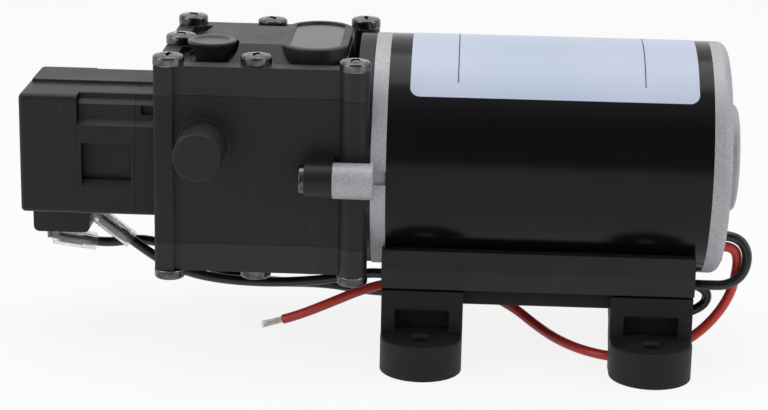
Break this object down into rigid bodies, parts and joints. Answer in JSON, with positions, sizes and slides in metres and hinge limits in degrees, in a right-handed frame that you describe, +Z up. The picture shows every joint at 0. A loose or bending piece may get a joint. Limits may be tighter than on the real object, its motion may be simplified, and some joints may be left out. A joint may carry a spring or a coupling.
{
  "type": "diaphragm water pump",
  "caption": "Diaphragm water pump: brushed motor, two-chamber head, pressure switch and capped hose tails, on a bracket with sliding rubber feet.",
  "frame": {"origin": "on the floor, midway between the four foot screw holes", "axes": "+Z up; +X along the motor axis, towards the motor's rear"},
  "size_m": [0.198, 0.0862, 0.0841],
  "materials": {
    "bearing_steel": "ground and polished",
    "black_insulation": "black insulation",
    "bracket_plastic": "moulded charcoal-black plastic, satin",
    "brush_carbon": "pressed carbon",
    "bush_bronze": "sintered bronze",
    "button_plastic": "red moulded plastic",
    "can_paint": "glossy near-black paint",
    "cap_rubber": "dark grey rubber, matte",
    "casting_metal": "pale grey, fine sand-cast texture",
    "copper": "enamelled or turned copper",
    "core_steel": "stacked electrical steel",
    "diaphragm_rubber": "black rubber",
    "foot_rubber": "charcoal rubber, matte",
    "grommet_rubber": "black rubber",
    "head_plastic": "moulded charcoal-black engineering plastic, satin",
    "holder_resin": "brown moulded resin",
    "label_film": "pale blue-white film",
    "magnet_ferrite": "dark ferrite",
    "micro_plastic": "black moulded plastic",
    "piston_plastic": "pale moulded plastic",
    "red_insulation": "bright red insulation",
    "screw_steel": "dark nickel-plated steel",
    "seal_rubber": "black rubber",
    "shaft_steel": "ground",
    "sleeve_clear": "clear soft plastic",
    "spring_steel": "bright wire",
    "terminal_metal": "tin-plated brass",
    "tinned_copper": "tinned strands",
    "valve_plastic": "off-white moulded plastic",
    "valve_rubber": "soft brown rubber",
    "yoke_metal": "die cast"
  },
  "bodies": {
    "pump": {"bare_lead_ends": "tinned_copper", "base_bracket": "bracket_plastic", "bottom_cover": "head_plastic", "brush_holder": "holder_resin", "brush_springs": "spring_steel", "brushes": "brush_carbon", "cover_plugs": "cap_rubber", "cover_screws": "screw_steel", "cover_seals": "seal_rubber", "flange_screws": "screw_steel", "front_bearing_balls": "bearing_steel", "front_bearing_outer_ring": "bearing_steel", "front_casting": "casting_metal", "head_body": "head_plastic", "lead_grommet": "grommet_rubber", "lower_diaphragm": "diaphragm_rubber", "magnets": "magnet_ferrite", "micro_switch": "micro_plastic", "motor_black_lead": "black_insulation", "motor_can": "can_paint", "motor_screws": "screw_steel", "rating_label": "label_film", "rear_bush": "bush_bronze", "rear_casting": "casting_metal", "red_lead": "red_insulation", "spade_terminals": "terminal_metal", "switch_cap": "head_plastic", "switch_diaphragm": "diaphragm_rubber", "switch_flange": "head_plastic", "switch_housing": "head_plastic", "switch_lead": "black_insulation", "switch_screws": "screw_steel", "switch_spring": "spring_steel", "terminal_sleeves": "sleeve_clear", "top_cover": "head_plastic", "umbrella_valves": "valve_rubber", "upper_diaphragm": "diaphragm_rubber", "valve_plates": "valve_plastic"},
    "rotor": {"motor_shaft": "shaft_steel", "rotor_core": "core_steel", "windings": "copper", "commutator": "copper", "eccentric_hub": "shaft_steel", "hub_grub_screw": "screw_steel", "crank_bearing_inner_ring": "bearing_steel", "crank_bearing_balls": "bearing_steel", "front_bearing_inner_ring": "bearing_steel"},
    "yoke": {"crank_yoke": "yoke_metal", "crank_bearing_outer_ring": "bearing_steel", "piston_plates": "piston_plastic", "piston_screws": "screw_steel"},
    "front_left_foot": {"front_left_foot": "foot_rubber"},
    "front_right_foot": {"front_right_foot": "foot_rubber"},
    "rear_left_foot": {"rear_left_foot": "foot_rubber"},
    "rear_right_foot": {"rear_right_foot": "foot_rubber"},
    "inlet_port_cap": {"inlet_port_cap": "cap_rubber"},
    "outlet_port_cap": {"outlet_port_cap": "cap_rubber"},
    "switch_piston": {"switch_piston": "piston_plastic"},
    "micro_switch_button": {"micro_switch_button": "button_plastic"},
    "adjusting_screw": {"adjusting_screw": "screw_steel"}
  },
  "joints": [
    {"name": "rotor_spin", "type": "hinge", "parent": "pump", "child": "rotor", "pos_m": [0, 0, 0.0525], "axis": [1, 0, 0], "continuous": true, "deforming": ["upper_diaphragm", "lower_diaphragm"]},
    {"name": "yoke_orbit", "type": "hinge", "parent": "rotor", "child": "yoke", "pos_m": [-0.07533, 0, 0.0537], "axis": [1, 0, 0], "continuous": true},
    {"name": "front_left_foot_slide", "type": "slide", "parent": "pump", "child": "front_left_foot", "axis": [1, 0, 0], "range_m": [-0.006, 0.018]},
    {"name": "front_right_foot_slide", "type": "slide", "parent": "pump", "child": "front_right_foot", "axis": [1, 0, 0], "range_m": [-0.018, 0.006]},
    {"name": "rear_left_foot_slide", "type": "slide", "parent": "pump", "child": "rear_left_foot", "axis": [1, 0, 0], "range_m": [-0.006, 0.018]},
    {"name": "rear_right_foot_slide", "type": "slide", "parent": "pump", "child": "rear_right_foot", "axis": [1, 0, 0], "range_m": [-0.018, 0.006]},
    {"name": "inlet_port_cap_pull", "type": "slide", "parent": "pump", "child": "inlet_port_cap", "axis": [0, -1, 0], "range_m": [0, 0.03]},
    {"name": "outlet_port_cap_pull", "type": "slide", "parent": "pump", "child": "outlet_port_cap", "axis": [0, 1, 0], "range_m": [0, 0.03]},
    {"name": "switch_piston_travel", "type": "slide", "parent": "pump", "child": "switch_piston", "axis": [-1, 0, 0], "range_m": [0, 0.0012], "stiffness_N_per_m": 3000, "springref_m": -0.004, "deforming": ["switch_diaphragm", "switch_spring"]},
    {"name": "micro_switch_button_travel", "type": "slide", "parent": "pump", "child": "micro_switch_button", "axis": [-1, 0, 0], "range_m": [0, 0.0012]},
    {"name": "adjusting_screw_turn", "type": "hinge", "parent": "pump", "child": "adjusting_screw", "pos_m": [-0.135, 0, 0.0525], "axis": [1, 0, 0], "range_deg": [-360, 360]}
  ],
  "couplings": [
    {"joint": "yoke_orbit", "follows": "rotor_spin", "ratio": -1},
    {"joint": "micro_switch_button_travel", "follows": "switch_piston_travel", "ratio": 1}
  ]
}
